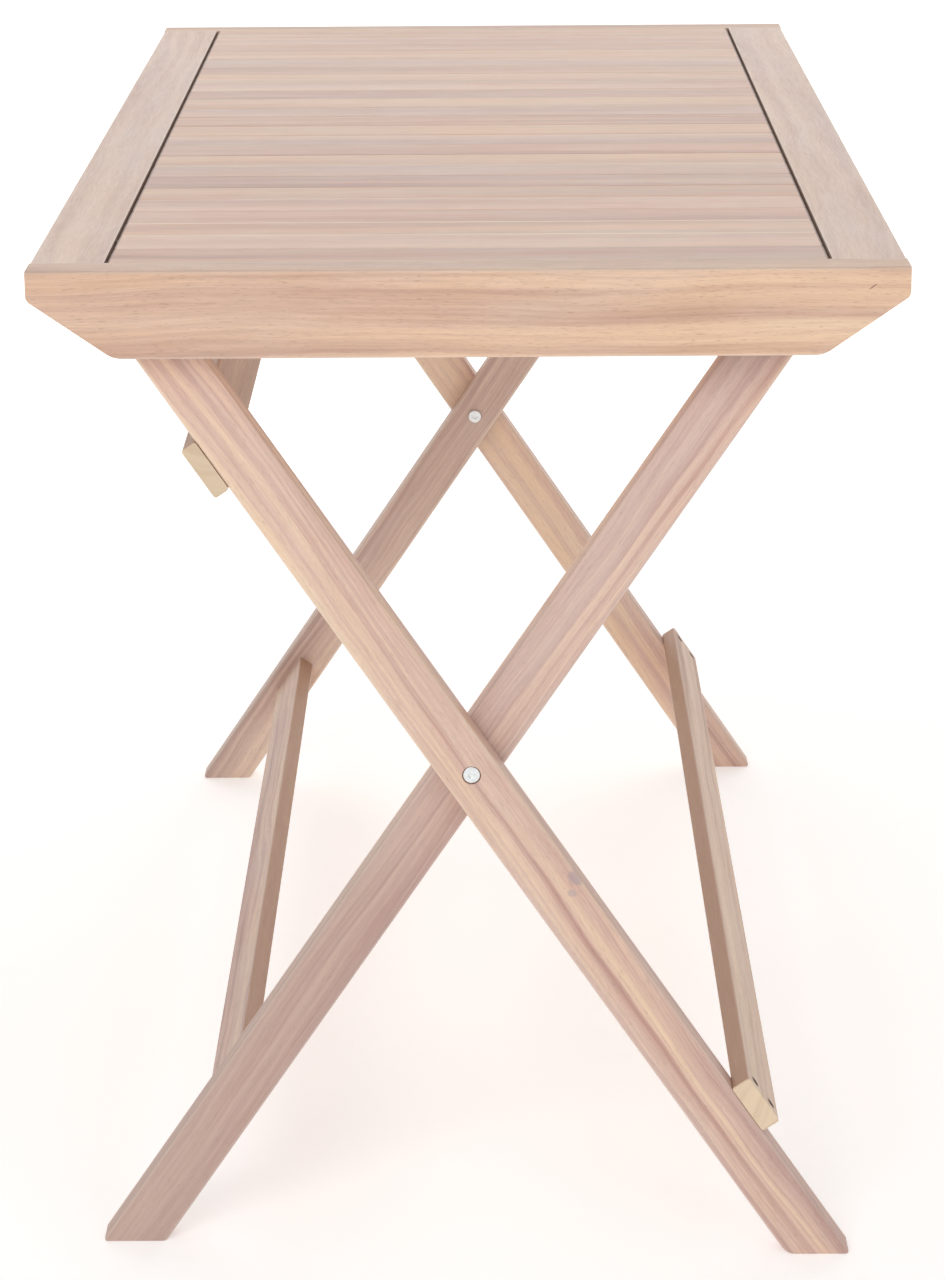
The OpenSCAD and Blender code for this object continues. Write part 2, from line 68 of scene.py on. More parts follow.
BOARD_STEP = 3.17                       # m of trunk between two boards' seeds
SLAT_STEP = 3.71                        # m of trunk between two slats
CROSS_DRIVE = (4.0, 1.4)                # width and depth, mm
SOCKET_DRIVE = (5.0, 1.5)
SCREW_SIDES = 20

MATH = "ShaderNodeMath"
VECTOR_MATH = "ShaderNodeVectorMath"
NOISE = "ShaderNodeTexNoise"
RANGE = "ShaderNodeMapRange"
MAPPING = "ShaderNodeMapping"
MIX = "ShaderNodeMix"
SPLIT = "ShaderNodeSeparateXYZ"
JOIN = "ShaderNodeCombineXYZ"

Socket = bpy.types.NodeSocket


def linear(code: str) -> tuple[float, float, float, float]:
    """Turns an sRGB hex colour into linear light.

    Args:
        code: Colour such as "#d8c5b9".

    Returns:
        Red, green, blue and alpha.
    """
    parts = [int(code[i:i + 2], 16) / 255 for i in (1, 3, 5)]
    rgb = [c / 12.92 if c <= 0.04045 else ((c + 0.055) / 1.055) ** 2.4
           for c in parts]
    return rgb[0], rgb[1], rgb[2], 1.0


class Graph:
    """A node tree under construction."""

    def __init__(self, tree: bpy.types.NodeTree) -> None:
        """Starts on an empty tree.

        Args:
            tree: Tree that receives the nodes.
        """
        self.tree = tree
        tree.nodes.clear()

    def add(self, kind: str, inputs: dict | None = None, out: int | str = 0,
            **settings: object) -> Socket | bpy.types.Node:
        """Adds one node with its settings and links.

        Args:
            kind: Node type.
            inputs: Value or linked socket of each input, by name or index.
            out: Output to hand back.
            **settings: Properties of the node.

        Returns:
            The chosen output, or the node itself where it has none.
        """
        node = self.tree.nodes.new(kind)
        for key, value in settings.items():
            setattr(node, key, value)
        for key, value in (inputs or {}).items():
            if isinstance(value, Socket):
                self.tree.links.new(value, node.inputs[key])
            else:
                node.inputs[key].default_value = value
        return node.outputs[out] if len(node.outputs) else node

    def scaled(self, vector: Socket,
               factors: tuple[float, float, float]) -> Socket:
        """Multiplies a vector axis by axis.

        Args:
            vector: Vector to scale.
            factors: Factor along X, Y and Z.

        Returns:
            The scaled vector.
        """
        return self.add(VECTOR_MATH, {0: vector, 1: factors},
                        operation="MULTIPLY")


class Grain(Enum):
    """Which way a board's length, width and thickness lie."""

    ACROSS = "along the table's width"
    LENGTHWISE = "along the table's length"
    OUTER_LEG = "up an outer leg"
    INNER_LEG = "up an inner leg"
    OUTER_CROSS = "between the outer legs"
    INNER_CROSS = "between the inner legs"

    def rows(self) -> Matrix:
        """Returns the turn from the table's axes to length, width, depth."""
        places = {j["name"]: Vector(j["pos_m"]) for j in frame["joints"]}
        up = (places["top_fold"] - places["leg_fold"]).normalized()
        if self in (Grain.INNER_LEG, Grain.INNER_CROSS):
            up.x = -up.x
        side = Vector((0, 1, 0))
        if self is Grain.ACROSS:
            rows = (Vector((1, 0, 0)), side, Vector((0, 0, 1)))
        elif self is Grain.LENGTHWISE:
            rows = (side, Vector((-1, 0, 0)), Vector((0, 0, 1)))
        elif self in (Grain.OUTER_LEG, Grain.INNER_LEG):
            rows = (up, side.cross(up), side)
        else:
            rows = (side, up, side.cross(up))
        return Matrix(rows)


class EndCut(Enum):
    """How the sawn ends of a board look."""

    PLAIN = "as the faces"
    CREAM = "raw pale end grain"
    # Unwashed end grain, darkened with painted shade.
    DARK = "unwashed and shaded"


@dataclass(frozen=True)
class Mark:
    """A stain or a darker part, drawn as a soft ellipsoid in the wood."""

    centre: tuple[float, float, float]
    half: tuple[float, float, float]    # mm, along, into and across the mark
    turn: float                         # degrees about Y
    colour: str
    strength: float

    def paint(self, g: Graph, position: Socket, colour: Socket) -> Socket:
        """Lays the spot over a colour.

        Args:
            g: Tree being built.
            position: Object coordinates.
            colour: Colour so far.

        Returns:
            The colour with the spot.
        """
        local = g.add(MAPPING, {"Vector": position, "Location": self.centre,
                                "Rotation": (0, math.radians(self.turn), 0),
                                "Scale": [h * MM for h in self.half]},
                      vector_type="TEXTURE")
        away = g.add(VECTOR_MATH, {0: local}, "Value", operation="LENGTH")
        cover = g.add(RANGE, {"Value": away, "From Min": 0.7, "From Max": 1.1,
                              "To Min": self.strength, "To Max": 0.0})
        return mixed(g, cover, colour, linear(self.colour))


def mixed(g: Graph, factor: Socket | float, first: object,
          second: object) -> Socket:
    """Mixes two colours.

    Args:
        g: Tree being built.
        factor: Share of the second colour.
        first: Colour or socket.
        second: Colour or socket.

    Returns:
        The mixed colour.
    """
    return g.add(MIX, {0: factor, 6: first, 7: second}, 2, data_type="RGBA")


@dataclass
class WoodSpace:
    """Sockets that say where a point lies in its own board."""

    position: Socket                    # object coordinates
    grain: Socket                       # length, width, depth; metres
    pith: Socket | tuple[float, float, float]
    edge: Socket                        # 1 on the long edges
    end: Socket                         # 1 on the sawn ends
    tone: Socket | float                # 0 straw, 1 grey-mauve
    shade: Socket | float               # brightness of the whole board
    narrow_shade: Socket | float                # 1 where shade is painted on a narrow face
    edge_cover: Socket | float


@dataclass(frozen=True)
class Timber:
    """White-washed acacia, planed and sanded, with a thin matt oil.

    The eye sees long straw, rose and mauve bands along the board, fine fibre
    lines with short dark pores, and a chalky veil that lies in soft clouds.
    """

    name: str
    pale: str                           # sapwood
    body: str                           # the board's general colour
    dark: str                           # late wood lines
    cloud: str                          # grey-mauve heartwood
    wash: str = "#e4d3c8"
    wash_cover: float = 0.30
    cloud_cover: float = 0.55
    band_mm: float = 7.0                # width of a growth band
    wander_mm: float = 9.0              # how far bands stray sideways
    fibre_mm: float = 1.1               # drawn a little coarse, so it shows
    pore: float = 0.25
    # colour and share of the painted highlight on the long edges
    edge: str = "#eaddd0"
    edge_cover: float = 0.45
    rough: float = 0.50
    soft: float = 1.0                   # above 1, bands melt into each other

    def paint(self, g: Graph, space: WoodSpace, end_cut: EndCut,
              marks: tuple[Mark, ...] = ()) -> Socket:
        """Builds the surface.

        Args:
            g: Tree being built.
            space: Where a point lies in its board.
            end_cut: Look of the sawn ends.
            marks: Spots to add.

        Returns:
            The shader.
        """
        q = space.grain
        # Bands stray sideways and back over a few hundred millimetres.
        stray = g.add(NOISE, {"Vector": g.scaled(q, (3.4, 15, 15)),
                              "Scale": 1, "Detail": 2.5}, "Color")
        stray = g.add(VECTOR_MATH, {0: stray, 1: (0.5, 0.5, 0.5)},
                      operation="SUBTRACT")
        wander = self.wander_mm * MM * 2
        q = g.add(VECTOR_MATH, {0: stray, 1: (0, wander, wander), 2: q},
                  operation="MULTIPLY_ADD")
        # Growth bands are irregular shells round a pith beside the board.
        ring = g.add(VECTOR_MATH, {0: q, 1: space.pith},
                     operation="SUBTRACT")
        ring = g.scaled(ring, (0, 1, 1))
        ring = g.add(VECTOR_MATH, {0: ring}, "Value", operation="LENGTH")
        ring = g.add(MATH, {0: ring, 1: 1 / (self.band_mm * MM)},
                     operation="MULTIPLY")
        parts = g.add(SPLIT, {0: q}).node.outputs
        along = g.add(MATH, {0: parts["X"], 1: 0.9}, operation="MULTIPLY")
        band = g.add(NOISE, {"Vector": g.add(JOIN, {0: ring, 1: along}),
                             "Scale": 1, "Detail": 3.5 / self.soft,
                             "Roughness": 0.60})
        zone = g.add(NOISE, {"Vector": g.scaled(q, (1.5, 26, 26)), "Scale": 1,
                             "Detail": 1.5})
        shift = g.add(MATH, {0: zone, 1: 0.62, 2: -0.31},
                      operation="MULTIPLY_ADD")
        level = g.add(MATH, {0: band, 1: shift}, operation="ADD")
        ramp = g.add("ShaderNodeValToRGB", {0: level})
        stops = ramp.node.color_ramp.elements
        reach = 0.19 * self.soft
        stops[0].position, stops[0].color = 0.49 - reach, linear(self.dark)
        stops[1].position, stops[1].color = 0.49 + reach, linear(self.pale)
        middle = stops.new(0.49)
        middle.color = linear(self.body)
        # Grey-mauve heartwood in broad streaks.
        heart = g.add(NOISE, {"Vector": g.scaled(q, (1.1, 30, 30)),
                              "Scale": 1.3, "Detail": 2.0})
        lean = g.add(MATH, {0: space.tone, 1: 0.30, 2: -0.15},
                     operation="MULTIPLY_ADD")
        heart = g.add(MATH, {0: heart, 1: lean}, operation="ADD")
        heart = g.add(RANGE, {"Value": heart, "From Min": 0.46,
                              "From Max": 0.72, "To Max": self.cloud_cover})
        colour = mixed(g, heart, ramp, linear(self.cloud))
        # Chalky veil.
        veil = g.add(NOISE, {"Vector": g.scaled(q, (7, 32, 32)), "Scale": 1,
                             "Detail": 4.0, "Roughness": 0.6})
        cover = g.add(RANGE, {"Value": veil, "From Min": 0.38,
                              "From Max": 0.66, "To Max": self.wash_cover})
        colour = mixed(g, cover, colour, linear(self.wash))
        # Fibres and pores.
        fine = 1 / (self.fibre_mm * MM)
        fibre = g.add(NOISE, {"Vector": g.scaled(q, (26, fine, fine)),
                              "Scale": 1, "Detail": 2.0, "Roughness": 0.7})
        shade = g.add(RANGE, {"Value": fibre, "From Min": 0.3,
                              "From Max": 0.7, "To Min": 0.915,
                              "To Max": 1.05})
        shade = g.add(MATH, {0: shade, 1: space.shade}, operation="MULTIPLY")
        colour = g.add("ShaderNodeHueSaturation",
                       {"Value": shade, "Color": colour})
        pores = g.add(NOISE, {"Vector": g.scaled(q, (95, fine, fine)),
                              "Scale": 1.7, "Detail": 0.0})
        pores = g.add(RANGE, {"Value": pores, "From Min": 0.66,
                              "From Max": 0.76, "To Max": self.pore})
        colour = mixed(g, pores, colour, linear(PORE_BROWN))
        for mark in marks:
            colour = mark.paint(g, space.position, colour)
        # Painted highlight along the long edges, where light catches the arris.
        edge_highlight = g.add(MATH, {0: space.edge, 1: space.edge_cover},
                     operation="MULTIPLY")
        colour = mixed(g, edge_highlight, colour, linear(self.edge))
        # Painted shade on the narrow faces.
        colour = mixed(g, space.narrow_shade, colour, linear(NARROW_FACE_SHADE))
        if end_cut is EndCut.CREAM:
            share = g.add(MATH, {0: space.end, 1: 0.55}, operation="MULTIPLY")
            colour = mixed(g, share, colour, linear(END_CREAM))
        # Painted shade on the end grain.
        elif end_cut is EndCut.DARK:
            share = g.add(MATH, {0: space.end, 1: 0.85}, operation="MULTIPLY")
            colour = mixed(g, share, colour, linear(END_GRAIN_SHADE))
        height = g.add(MATH, {0: band, 1: 0.6, 2: fibre},
                       operation="MULTIPLY_ADD")
        bump = g.add("ShaderNodeBump", {"Strength": 0.22,
                                        "Distance": 0.25 * MM,
                                        "Height": height})
        rough = g.add(RANGE, {"Value": fibre, "From Min": 0.3,
                              "From Max": 0.7, "To Min": self.rough + 0.06,
                              "To Max": self.rough - 0.06})
        return g.add("ShaderNodeBsdfPrincipled",
                     {"Base Color": colour, "Roughness": rough,
                      "Normal": bump, "IOR": 1.5})


def new_material(name: str) -> tuple[bpy.types.Material, Graph]:
    """Makes an empty material.

    Args:
        name: Name of the finish.

    Returns:
        The material and its empty tree.
    """
    material = bpy.data.materials.new(name)
    material.use_nodes = True
    return material, Graph(material.node_tree)


def give(node: str, material: bpy.types.Material) -> None:
    """Puts a material on a CAD node.

    Args:
        node: Name of the node.
        material: Its new finish.
    """
    piece = frame["nodes"][node]
    for slot in piece.material_slots:
        slot.material = material


@dataclass(frozen=True)
class Board:
    """One board and the piece of timber it was cut from."""

    node: str
    grain: Grain
    timber: Timber
    seed: int
    pith_mm: tuple[float, float] = (95.0, 30.0)
    tone: float = 0.5
    shade: float = 1.0
    # share of painted shade on the narrow faces
    narrow_shade: float = 0.0
    end_cut: EndCut = EndCut.PLAIN
    marks: tuple[Mark, ...] = ()
    edge_mm: float = 2.2

    def space(self, g: Graph) -> WoodSpace:
        """Works out where a point lies in this board.

        Args:
            g: Tree being built.

        Returns:
            The board's own coordinates and masks.
        """
        rows = self.grain.rows()
        mesh = frame["nodes"][self.node].data
        own = np.array([v.co for v in mesh.vertices]) @ np.array(rows).T
        low, high = own.min(0), own.max(0)
        centre, half = (low + high) / 2, (high - low) / 2
        position = g.add("ShaderNodeTexCoord", out="Object")
        local = g.add(MAPPING, {"Vector": position,
                                "Location": tuple(-centre),
                                "Rotation": rows.to_euler()})
        depth = g.add(VECTOR_MATH, {0: local}, operation="ABSOLUTE")
        depth = g.add(VECTOR_MATH, {0: tuple(half), 1: depth},
                      operation="SUBTRACT")
        parts = g.add(SPLIT, {0: depth}).node.outputs
        inner = g.add(MATH, {0: parts["Y"], 1: parts["Z"]},
                      operation="MAXIMUM")
        edge = g.add(RANGE, {"Value": inner, "From Min": 0.0,
                             "From Max": self.edge_mm * MM, "To Min": 1.0,
                             "To Max": 0.0})
        end = g.add(RANGE, {"Value": parts["X"], "From Min": 0.3 * MM,
                            "From Max": 0.9 * MM, "To Min": 1.0,
                            "To Max": 0.0})
        # Painted shade on both narrow faces, fading out 1.6 mm in.
        narrow_shade = g.add(RANGE, {"Value": parts["Y"], "From Min": 0.2 * MM,
                             "From Max": 1.6 * MM, "To Min": self.narrow_shade,
                             "To Max": 0.0})
        # Each board comes from its own part of the trunk.
        cut = g.add(VECTOR_MATH, {0: local, 1: (self.seed * BOARD_STEP, 0, 0)},
                    operation="ADD")
        pith = (0.0, self.pith_mm[0] * MM, self.pith_mm[1] * MM)
        return WoodSpace(position, cut, pith, edge, end, self.tone,
                         self.shade, narrow_shade, self.timber.edge_cover)

    def dress(self) -> None:
        """Gives the CAD board its timber."""
        material, g = new_material(f"{self.timber.name}-{self.node}")
        shader = self.timber.paint(g, self.space(g), self.end_cut, self.marks)
        g.add("ShaderNodeOutputMaterial", {"Surface": shader})
        give(self.node, material)


@dataclass
class Slats:
    """The slats between the end boards, each from another piece of timber."""

    timbers: tuple[Timber, Timber, Timber]
    count: int = 24
    gap_mm: float = 0.3
    chamfer_mm: float = 1.0

    def space(self, g: Graph) -> WoodSpace:
        """Numbers the slats by their place and centres each on its own axis.

        Args:
            g: Tree being built.

        Returns:
            A slat's own coordinates and masks.
        """
        first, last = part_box("slat_01"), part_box(f"slat_{self.count:02d}")
        gap = self.gap_mm * MM
        start, stop = first[0].y - gap / 2, last[1].y + gap / 2
        pitch = (stop - start) / self.count
        position = g.add("ShaderNodeTexCoord", out="Object")
        parts = g.add(SPLIT, {0: position}).node.outputs
        place = g.add(MATH, {0: parts["Y"], 1: 1 / pitch, 2: -start / pitch},
                      operation="MULTIPLY_ADD")
        number = g.add(MATH, {0: place}, operation="FLOOR")
        within = g.add(MATH, {0: place, 1: number}, operation="SUBTRACT")
        across = g.add(MATH, {0: within, 1: pitch, 2: -pitch / 2},
                       operation="MULTIPLY_ADD")
        along = g.add(MATH, {0: number, 1: SLAT_STEP, 2: parts["X"]},
                      operation="MULTIPLY_ADD")
        middle = (first[0].z + first[1].z) / 2
        depth = g.add(MATH, {0: parts["Z"], 1: middle}, operation="SUBTRACT")
        own = g.add(JOIN, {0: along, 1: across, 2: depth})
        chance = g.add("ShaderNodeTexWhiteNoise", {"W": number}, "Color",
                       noise_dimensions="1D")
        dice = g.add(SPLIT, {0: chance}).node.outputs
        pith = g.add(JOIN, {
            1: g.add(RANGE, {"Value": dice["X"], "To Min": -0.11,
                             "To Max": 0.11}),
            2: g.add(RANGE, {"Value": dice["Y"], "To Min": -0.02,
                             "To Max": -0.10})})
        # Painted highlight on the upper long edges: close to the joint and close to the top.
        beside = g.add(MATH, {0: across}, operation="ABSOLUTE")
        beside = g.add(RANGE, {"Value": beside,
                               "From Min": pitch / 2 - 1.5 * MM,
                               "From Max": pitch / 2 - 0.9 * MM})
        upper = g.add(RANGE, {"Value": parts["Z"],
                              "From Min": first[1].z - 1.4 * MM,
                              "From Max": first[1].z - 1.0 * MM})
        edge = g.add(MATH, {0: beside, 1: upper}, operation="MULTIPLY")
        side = g.add(MATH, {0: parts["X"]}, operation="ABSOLUTE")
        end = g.add(RANGE, {"Value": side,
                            "From Min": first[1].x - 1.6 * MM,
                            "From Max": first[1].x - 0.6 * MM})
        # The painted highlight lies along some joints for part of their length, along some
        # hardly at all.
        patchy = g.add(NOISE, {"Vector": g.scaled(own, (3.0, 0, 0)),
                               "Scale": 1})
        cover = g.add(MATH, {0: dice["Z"], 1: 0.8, 2: patchy},
                      operation="MULTIPLY_ADD")
        cover = g.add(RANGE, {"Value": cover, "From Min": 0.80,
                              "From Max": 1.15})
        shade = g.add(RANGE, {"Value": dice["Y"], "To Min": 0.93,
                              "To Max": 1.04})
        return WoodSpace(position, own, pith, edge, end, dice["X"], shade,
                         0.0, cover)

    def dress(self) -> None:
        """Gives the slats their three timbers in turn."""
        made = []
        for timber in self.timbers:
            material, g = new_material(timber.name)
            shader = timber.paint(g, self.space(g), EndCut.DARK)
            g.add("ShaderNodeOutputMaterial", {"Surface": shader})
            made.append(material)
        for number in range(1, self.count + 1):
            give(f"slat_{number:02d}", made[number % 3])


# --- Finishes -----------------------------------------------------------

# End boards: warm honey straw with clear bands and little veil.
HONEY = Timber("limed_acacia_honey", pale="#ebc8a6", body="#deb99c",
               dark="#c19983", cloud="#c8a89b", wash_cover=0.20,
               band_mm=10.0, wander_mm=11.0, pore=0.30)
# Side rails: pale and even, the bands half lost under the veil.
CLOUD = Timber("limed_acacia_cloud", pale="#edcdb8", body="#e3c1ac",
               dark="#d2aa97", cloud="#cfb2a4", wash_cover=0.35,
               band_mm=12.0, wander_mm=14.0, pore=0.10, soft=1.5)
# Legs: straw and rose bands with mauve streaks along the leg.
ROSE = Timber("limed_acacia_rose", pale="#e9cbae", body="#d8b5a4",
              dark="#b98f83", cloud="#c4aaa5", wash_cover=0.22,
              band_mm=7.0, wander_mm=13.0)
# The leg that looks greyest: dull rose with brown-grey bands.
ASHEN = Timber("limed_acacia_ashen", pale="#dfc3ac", body="#cdb0a0",
               dark="#ab897d", cloud="#b69d96", wash_cover=0.20,
               band_mm=8.0, wander_mm=14.0)
# Cross boards: light cream, wide quiet bands.
PALE = Timber("limed_acacia_pale", pale="#ecd0b5", body="#dfc0a8",
              dark="#bd967e", cloud="#ceb49c", wash_cover=0.22,
              band_mm=10.0)
# Hidden boards: brown, bare off the planer, hardly any veil.
PLANED = Timber("planed_acacia", pale="#d6b896", body="#c4a184",
                dark="#9c7862", cloud="#a88e7e", wash_cover=0.10,
                edge_cover=0.20)
# Slats: broad soft bands, pale yellow straw.
SLAT_STRAW = Timber("limed_slat_straw", pale="#f4d0ad", body="#e9bfa2",
                    dark="#d2a086", cloud="#c8a89a", edge="#fff0df",
                    wash_cover=0.25, band_mm=24.0, soft=1.5, pore=0.12)
# Slats: broad soft bands, a shade deeper and pinker.
SLAT_ROSE = Timber("limed_slat_rose", pale="#eec6aa", body="#dfb39c",
                   dark="#c39382", cloud="#bf9d92", edge="#fff0df",
                   wash_cover=0.25, band_mm=20.0, soft=1.4, pore=0.12)
# Slats: the chalkiest third, pale rose-grey.
SLAT_PALE = Timber("limed_slat_pale", pale="#f0cdb4", body="#e5bda8",
                   dark="#cc9f8c", cloud="#c7a79c", edge="#fff0df",
                   wash_cover=0.30, band_mm=28.0, soft=1.6, pore=0.12)


@dataclass(frozen=True)
class Plating:
    """Steel turned on a lathe, then plated.

    The eye sees bright grey metal with fine turning rings round the middle
    and a slight cloudiness in the plating.
    """

    name: str
    colour: str
    rough: float
    ring_mm: float = 0.0                # 0 leaves the turning rings out

    def build(self, axis: Vector | None = None) -> bpy.types.Material:
        """Makes the material.

        Args:
            axis: A point on the Y-axis that the rings go round.

        Returns:
            The material.
        """
        material, g = new_material(self.name)
        position = g.add("ShaderNodeTexCoord", out="Object")
        cloud = g.add(NOISE, {"Vector": position, "Scale": 420.0,
                              "Detail": 3.0})
        shade = g.add(RANGE, {"Value": cloud, "From Min": 0.35,
                              "From Max": 0.65, "To Min": 0.9,
                              "To Max": 1.06})
        colour = g.add("ShaderNodeHueSaturation",
                       {"Value": shade, "Color": linear(self.colour)})
        rough = g.add(RANGE, {"Value": cloud, "From Min": 0.35,
                              "From Max": 0.65,
                              "To Min": self.rough - 0.06,
                              "To Max": self.rough + 0.08})
        height = cloud
        if axis is not None and self.ring_mm:
            local = g.add(MAPPING, {"Vector": position,
                                    "Location": (-axis.x, 0, -axis.z)})
            height = g.add("ShaderNodeTexWave",
                           {"Vector": local,
                            "Scale": 0.314 / (self.ring_mm * MM),
                            "Distortion": 0.4}, "Fac",
                           wave_type="RINGS", rings_direction="Y")
        bump = g.add("ShaderNodeBump", {"Strength": 0.18,
                                        "Distance": 0.06 * MM,
                                        "Height": height})
        shader = g.add("ShaderNodeBsdfPrincipled",
                       {"Base Color": colour, "Metallic": 1.0,
                        "Roughness": rough, "Normal": bump})
        g.add("ShaderNodeOutputMaterial", {"Surface": shader})
        return material


# Bolt heads: bright, cold grey, faintly ringed by the lathe.
ZINC_BOLT = Plating("bright_zinc_plate", "#e9ecec", 0.34, ring_mm=0.9)
# Screws and washers: duller and darker grey.
ZINC_SCREW = Plating("dull_zinc_plate", "#b9bab6", 0.42)
# Threaded inserts: plain yellow brass.
BRASS = Plating("turned_brass", "#d3b36c", 0.36)


# --- Fasteners ----------------------------------------------------------

def lathe(name: str, profile: list[tuple[float, float]],
          sides: int) -> bpy.types.Object:
    """Turns a profile round the Z axis, flat at its first and last point.

    Args:
        name: Name of the blank.
        profile: Radius and height of each point, in mm.
        sides: Number of sides.

    Returns:
        The turned blank, not part of the object.
    """
    shape = bmesh.new()
    rings = []
    for radius, height in profile:
        ring = []
        for k in range(sides):
            a = 2 * math.pi * k / sides
            ring.append(shape.verts.new((radius * MM * math.cos(a),
                                         radius * MM * math.sin(a),
                                         height * MM)))
        rings.append(ring)
    for upper, lower in zip(rings, rings[1:]):
        for k in range(sides):
            n = (k + 1) % sides
            shape.faces.new((upper[k], lower[k], lower[n], upper[n]))
    shape.faces.new(rings[0])
    shape.faces.new(reversed(rings[-1]))
    bmesh.ops.recalc_face_normals(shape, faces=shape.faces)
    mesh = bpy.data.meshes.new(name)
    shape.to_mesh(mesh)
    shape.free()
    blank = bpy.data.objects.new(name, mesh)
    bpy.context.scene.collection.objects.link(blank)
    return blank


class Drive(Enum):
    """Shape of the recess in a head."""

    CROSS = False
    HEXAGON = True


class FastenerTree:
    """Geometry Nodes that cut the drive and stand a fastener on each point."""

    INPUTS = (("Geometry", "NodeSocketGeometry"),
              ("Blank", "NodeSocketObject"),
              ("Hexagon Drive", "NodeSocketBool"),
              ("Drive Width", "NodeSocketFloat"),
              ("Drive Depth", "NodeSocketFloat"),
              ("Turn Seed", "NodeSocketInt"),
              ("Finish", "NodeSocketMaterial"))
    ARM = 0.26                          # a cross arm's share of its width

    def __init__(self) -> None:
        """Builds the tree once for every kind of fastener."""
        tree = bpy.data.node_groups.new("fasteners", "GeometryNodeTree")
        tree.is_modifier = True
        for name, kind in self.INPUTS:
            tree.interface.new_socket(name, in_out="INPUT", socket_type=kind)
        tree.interface.new_socket("Geometry", in_out="OUTPUT",
                                  socket_type="NodeSocketGeometry")
        g = Graph(tree)
        self.tree = tree
        given = g.add("NodeGroupInput").node.outputs
        width, tall = given["Drive Width"], g.add(
            MATH, {0: given["Drive Depth"], 1: 2.0}, operation="MULTIPLY")
        arm = g.add(MATH, {0: width, 1: self.ARM}, operation="MULTIPLY")
        bars = [g.add("GeometryNodeMeshCube",
                      {"Size": g.add(JOIN, {0: a, 1: b, 2: tall})})
                for a, b in ((width, arm), (arm, width))]
        cross = g.add("GeometryNodeMeshBoolean", {}, operation="UNION",
                      solver="EXACT").node
        for bar in bars:
            tree.links.new(bar, cross.inputs["Mesh 2"])
        corner = g.add(MATH, {0: width, 1: 0.5 / math.cos(math.pi / 6)},
                       operation="MULTIPLY")
        hexagon = g.add("GeometryNodeMeshCylinder",
                        {"Vertices": 6, "Radius": corner, "Depth": tall})
        cutter = g.add("GeometryNodeSwitch",
                       {"Switch": given["Hexagon Drive"],
                        "False": cross.outputs[0], "True": hexagon},
                       input_type="GEOMETRY")
        blank = g.add("GeometryNodeObjectInfo", {"Object": given["Blank"]},
                      "Geometry")
        cut = g.add("GeometryNodeMeshBoolean",
                    {"Mesh 1": blank, "Mesh 2": cutter},
                    operation="DIFFERENCE", solver="EXACT")
        outward = g.add("GeometryNodeInputNamedAttribute",
                        {"Name": "outward"}, "Attribute",
                        data_type="FLOAT_VECTOR")
        upright = g.add("FunctionNodeAlignRotationToVector",
                        {"Vector": outward}, axis="Z")
        spin = g.add("FunctionNodeRandomValue",
                     {2: 0.0, 3: math.tau, "Seed": given["Turn Seed"]}, 1,
                     data_type="FLOAT")
        spin = g.add("FunctionNodeEulerToRotation",
                     {0: g.add(JOIN, {2: spin})})
        turned = g.add("FunctionNodeRotateRotation",
                       {"Rotation": upright, "Rotate By": spin},
                       rotation_space="LOCAL")
        placed = g.add("GeometryNodeInstanceOnPoints",
                       {"Points": given["Geometry"], "Instance": cut,
                        "Rotation": turned})
        real = g.add("GeometryNodeRealizeInstances", {"Geometry": placed})
        done = g.add("GeometryNodeSetMaterial",
                     {"Geometry": real, "Material": given["Finish"]})
        g.add("NodeGroupOutput", {"Geometry": done})

    def run(self, points: bpy.types.Object,
            values: dict[str, object]) -> bpy.types.Mesh:
        """Evaluates the tree on a set of points.

        Args:
            points: Object whose vertices carry the fasteners.
            values: Value of each named input.

        Returns:
            The finished mesh.
        """
        modifier = points.modifiers.new("fasteners", "NODES")
        modifier.node_group = self.tree
        for item in self.tree.interface.items_tree:
            if item.in_out == "INPUT" and item.name in values:
                modifier[item.identifier] = values[item.name]
        bpy.context.view_layer.update()
        ready = points.evaluated_get(
            bpy.context.evaluated_depsgraph_get())
        mesh = bpy.data.meshes.new_from_object(ready)
        points.modifiers.remove(modifier)
        return mesh


def islands(node: str) -> list[np.ndarray]:
    """Splits a CAD node into its separate solids.

    Args:
        node: Name of the node.

    Returns:
        The corner points of each solid.
    """
    shape = bmesh.new()
    shape.from_mesh(frame["nodes"][node].data)
    bmesh.ops.remove_doubles(shape, verts=shape.verts, dist=0.01 * MM)
    seen: set[int] = set()
    found = []
    shape.verts.ensure_lookup_table()
    for start in shape.verts:
        if start.index in seen:
            continue
        seen.add(start.index)
        stack, group = [start], []
        while stack:
            v = stack.pop()
            group.append(tuple(v.co))
            for e in v.link_edges:
                w = e.other_vert(v)
                if w.index not in seen:
                    seen.add(w.index)
                    stack.append(w)
        found.append(np.array(group))
    shape.free()
    return found


@dataclass
class Stand:
    """Where one fastener's head is, which way it faces and how long it is."""

    top: np.ndarray
    outward: np.ndarray
    length: float

    @staticmethod
    def of(corners: np.ndarray) -> "Stand":
        """Finds the stand of a solid from its corner points.

        Args:
            corners: Corner points of a headed pin.

        Returns:
            Its stand.
        """
        centre = corners.mean(0)
        axes = np.linalg.eigh(np.cov((corners - centre).T))[1].T
        along, u, v = axes[2], axes[1], axes[0]
        t = (corners - centre) @ along
        flat = [((corners - centre) @ w) for w in (u, v)]
        centre = centre + sum(w * (f.min() + f.max()) / 2
                              for w, f in zip((u, v), flat))
        off = corners - centre
        radius = np.linalg.norm(off - np.outer(off @ along, along), axis=1)
        if t[radius.argmax()] < (t.min() + t.max()) / 2:
            along, t = -along, -t
        return Stand(centre + along * t.max(), along, t.max() - t.min())


